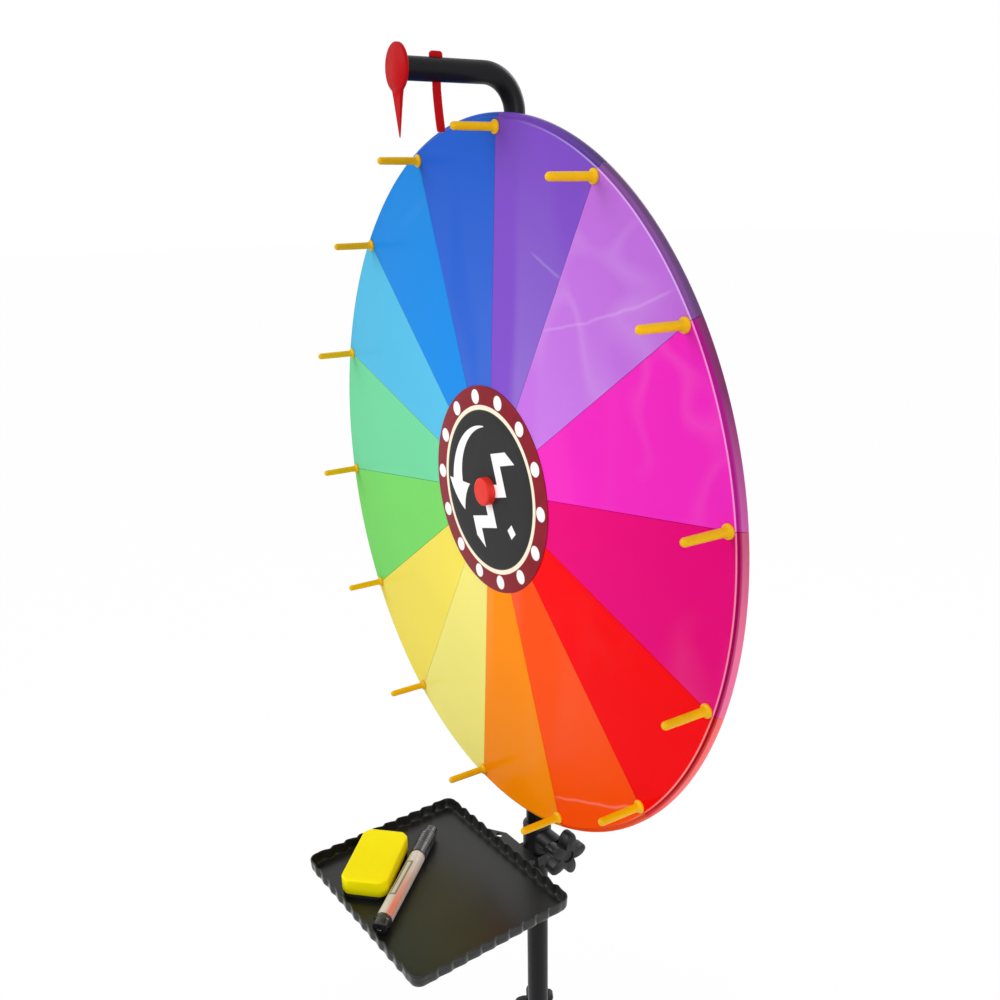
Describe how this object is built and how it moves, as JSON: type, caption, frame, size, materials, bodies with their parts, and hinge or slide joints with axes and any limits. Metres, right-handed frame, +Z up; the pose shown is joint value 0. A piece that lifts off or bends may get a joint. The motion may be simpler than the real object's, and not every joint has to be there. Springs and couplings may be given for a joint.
{
  "type": "carnival game wheel",
  "caption": "Floor-standing prize wheel with coloured sectors, rim pegs, bent pointer arm with a sprung flapper, tilting tray, telescoping mast and folding tripod stand.",
  "frame": {"origin": "foot of the mast on the floor, on the mast axis", "axes": "+Z up along the mast, -Y the way the wheel faces, +X to the right seen from the front"},
  "size_m": [0.7406, 0.6452, 1.4705],
  "materials": {
    "face_violet": "gloss",
    "face_orchid": "gloss",
    "face_magenta": "gloss",
    "face_crimson": "gloss",
    "face_red": "gloss",
    "face_vermilion": "gloss",
    "face_orange": "gloss",
    "face_lemon": "gloss",
    "face_yellow": "gloss",
    "face_green": "gloss",
    "face_mint": "gloss",
    "face_sky": "gloss",
    "face_blue": "gloss",
    "face_royal": "gloss",
    "black_tube": "semi gloss black",
    "black_moulding": "satin black",
    "black_casting": "satin black",
    "tray_sheet": "satin black",
    "foot_rubber": "matt",
    "zinc_steel": "zinc plated",
    "bearing_steel": "polished",
    "hub_alloy": "cast",
    "board_black": "matt black",
    "peg_yellow": "gloss",
    "disc_print": "printed",
    "cap_red": "gloss",
    "pointer_red": "satin",
    "flapper_red": "satin",
    "eraser_yellow": "satin",
    "eraser_felt": "felt",
    "marker_pale": "gloss",
    "marker_black": "gloss"
  },
  "bodies": {
    "stand": {"lower_tube": "black_tube", "pole_foot": "foot_rubber", "leg_collar": "black_moulding", "leg_pins": "zinc_steel", "mast_sleeve": "black_moulding"},
    "mast_lock": {"mast_knob": "black_moulding"},
    "leg_set_1": {"leg_1": "black_tube", "foot_1": "foot_rubber"},
    "leg_set_2": {"leg_2": "black_tube", "foot_2": "foot_rubber"},
    "leg_set_3": {"leg_3": "black_tube", "foot_3": "foot_rubber"},
    "brace_link_1": {"brace_1": "zinc_steel"},
    "brace_link_2": {"brace_2": "zinc_steel"},
    "brace_link_3": {"brace_3": "zinc_steel"},
    "spreader": {"spreader_ring": "black_moulding"},
    "mast": {"mast_tube": "black_tube", "mast_glide": "black_moulding", "hub_bracket": "black_casting", "axle_bolt": "zinc_steel", "axle_nut": "zinc_steel", "axle_spacers": "zinc_steel", "bearing_inner": "bearing_steel", "bracket_screws": "zinc_steel", "arm_tube": "black_tube", "pointer": "pointer_red", "flapper_head": "flapper_red"},
    "flapper": {"flapper_blade": "flapper_red"},
    "wheel": {"sector_01": "face_violet", "sector_02": "face_orchid", "sector_03": "face_magenta", "sector_04": "face_crimson", "sector_05": "face_red", "sector_06": "face_vermilion", "sector_07": "face_orange", "sector_08": "face_lemon", "sector_09": "face_yellow", "sector_10": "face_green", "sector_11": "face_mint", "sector_12": "face_sky", "sector_13": "face_blue", "sector_14": "face_royal", "wheel_board": "board_black", "pegs": "peg_yellow", "hub_flange": "hub_alloy", "flange_bolts": "zinc_steel", "bearing_outer": "bearing_steel", "bearing_balls": "bearing_steel", "centre_disc": "disc_print", "centre_cap": "cap_red"},
    "tray_mount": {"tray_clamp": "black_moulding", "tilt_bolt": "tray_sheet"},
    "tray_lock": {"tray_knob": "black_moulding"},
    "tray": {"tray_bracket": "tray_sheet", "tray_pan": "tray_sheet", "tray_rivets": "tray_sheet"},
    "eraser": {"eraser_body": "eraser_yellow", "eraser_felt": "eraser_felt"},
    "marker": {"marker_barrel": "marker_pale", "marker_cap": "marker_black"}
  },
  "joints": [
    {"name": "leg_1_fold", "type": "hinge", "parent": "stand", "child": "leg_set_1", "pos_m": [0, 0.032, 0.415], "axis": [-1, 0, 0], "range_deg": [0, 34]},
    {"name": "leg_2_fold", "type": "hinge", "parent": "stand", "child": "leg_set_2", "pos_m": [-0.02771, -0.016, 0.415], "axis": [0.5, -0.866, 0], "range_deg": [0, 34]},
    {"name": "leg_3_fold", "type": "hinge", "parent": "stand", "child": "leg_set_3", "pos_m": [0.02771, -0.016, 0.415], "axis": [0.5, 0.866, 0], "range_deg": [0, 34]},
    {"name": "brace_1_fold", "type": "hinge", "parent": "leg_set_1", "child": "brace_link_1", "pos_m": [0, 0.15244, 0.28123], "axis": [-1, 0, 0], "range_deg": [-68.5, 0]},
    {"name": "brace_2_fold", "type": "hinge", "parent": "leg_set_2", "child": "brace_link_2", "pos_m": [-0.13202, -0.07622, 0.28123], "axis": [0.5, -0.866, 0], "range_deg": [-68.5, 0]},
    {"name": "brace_3_fold", "type": "hinge", "parent": "leg_set_3", "child": "brace_link_3", "pos_m": [0.13202, -0.07622, 0.28123], "axis": [0.5, 0.866, 0], "range_deg": [-68.5, 0]},
    {"name": "spreader_slide", "type": "slide", "parent": "stand", "child": "spreader", "axis": [0, 0, 1], "range_m": [-0.08916, 0]},
    {"name": "mast_slide", "type": "slide", "parent": "stand", "child": "mast", "axis": [0, 0, 1], "range_m": [-0.1, 0.15]},
    {"name": "mast_knob_turn", "type": "hinge", "parent": "stand", "child": "mast_lock", "pos_m": [0, 0, 0.478], "axis": [-0.866, 0.5, 0], "range_deg": [0, 360]},
    {"name": "wheel_spin", "type": "hinge", "parent": "mast", "child": "wheel", "pos_m": [0, -0.049, 1.12], "axis": [0, 1, 0], "continuous": true},
    {"name": "flapper_swing", "type": "hinge", "parent": "mast", "child": "flapper", "pos_m": [0, -0.087, 1.44], "axis": [0, -1, 0], "range_deg": [-55, 40], "stiffness_Nm_per_rad": 0.01},
    {"name": "tray_height", "type": "slide", "parent": "mast", "child": "tray_mount", "axis": [0, 0, 1], "range_m": [-0.06, 0.02]},
    {"name": "tray_knob_turn", "type": "hinge", "parent": "tray_mount", "child": "tray_lock", "pos_m": [0, 0, 0.7448], "axis": [0.9969, 0.0785, 0], "range_deg": [0, 360]},
    {"name": "tray_tilt", "type": "hinge", "parent": "tray_mount", "child": "tray", "pos_m": [0.00235, -0.02991, 0.7248], "axis": [0.9969, 0.0785, 0], "range_deg": [-15, 45]},
    {"name": "eraser_lift", "type": "slide", "parent": "tray", "child": "eraser", "axis": [0, 0, 1], "range_m": [0, 0.02]},
    {"name": "marker_lift", "type": "slide", "parent": "tray", "child": "marker", "axis": [0, 0, 1], "range_m": [0, 0.02]}
  ],
  "couplings": [
    {"joint": "leg_2_fold", "follows": "leg_1_fold", "ratio": 1},
    {"joint": "leg_3_fold", "follows": "leg_1_fold", "ratio": 1},
    {"joint": "brace_1_fold", "follows": "leg_1_fold", "ratio": -2},
    {"joint": "brace_2_fold", "follows": "leg_1_fold", "ratio": -2},
    {"joint": "brace_3_fold", "follows": "leg_1_fold", "ratio": -2},
    {"joint": "spreader_slide", "follows": "leg_1_fold", "m_per_rad": -0.14992}
  ]
}
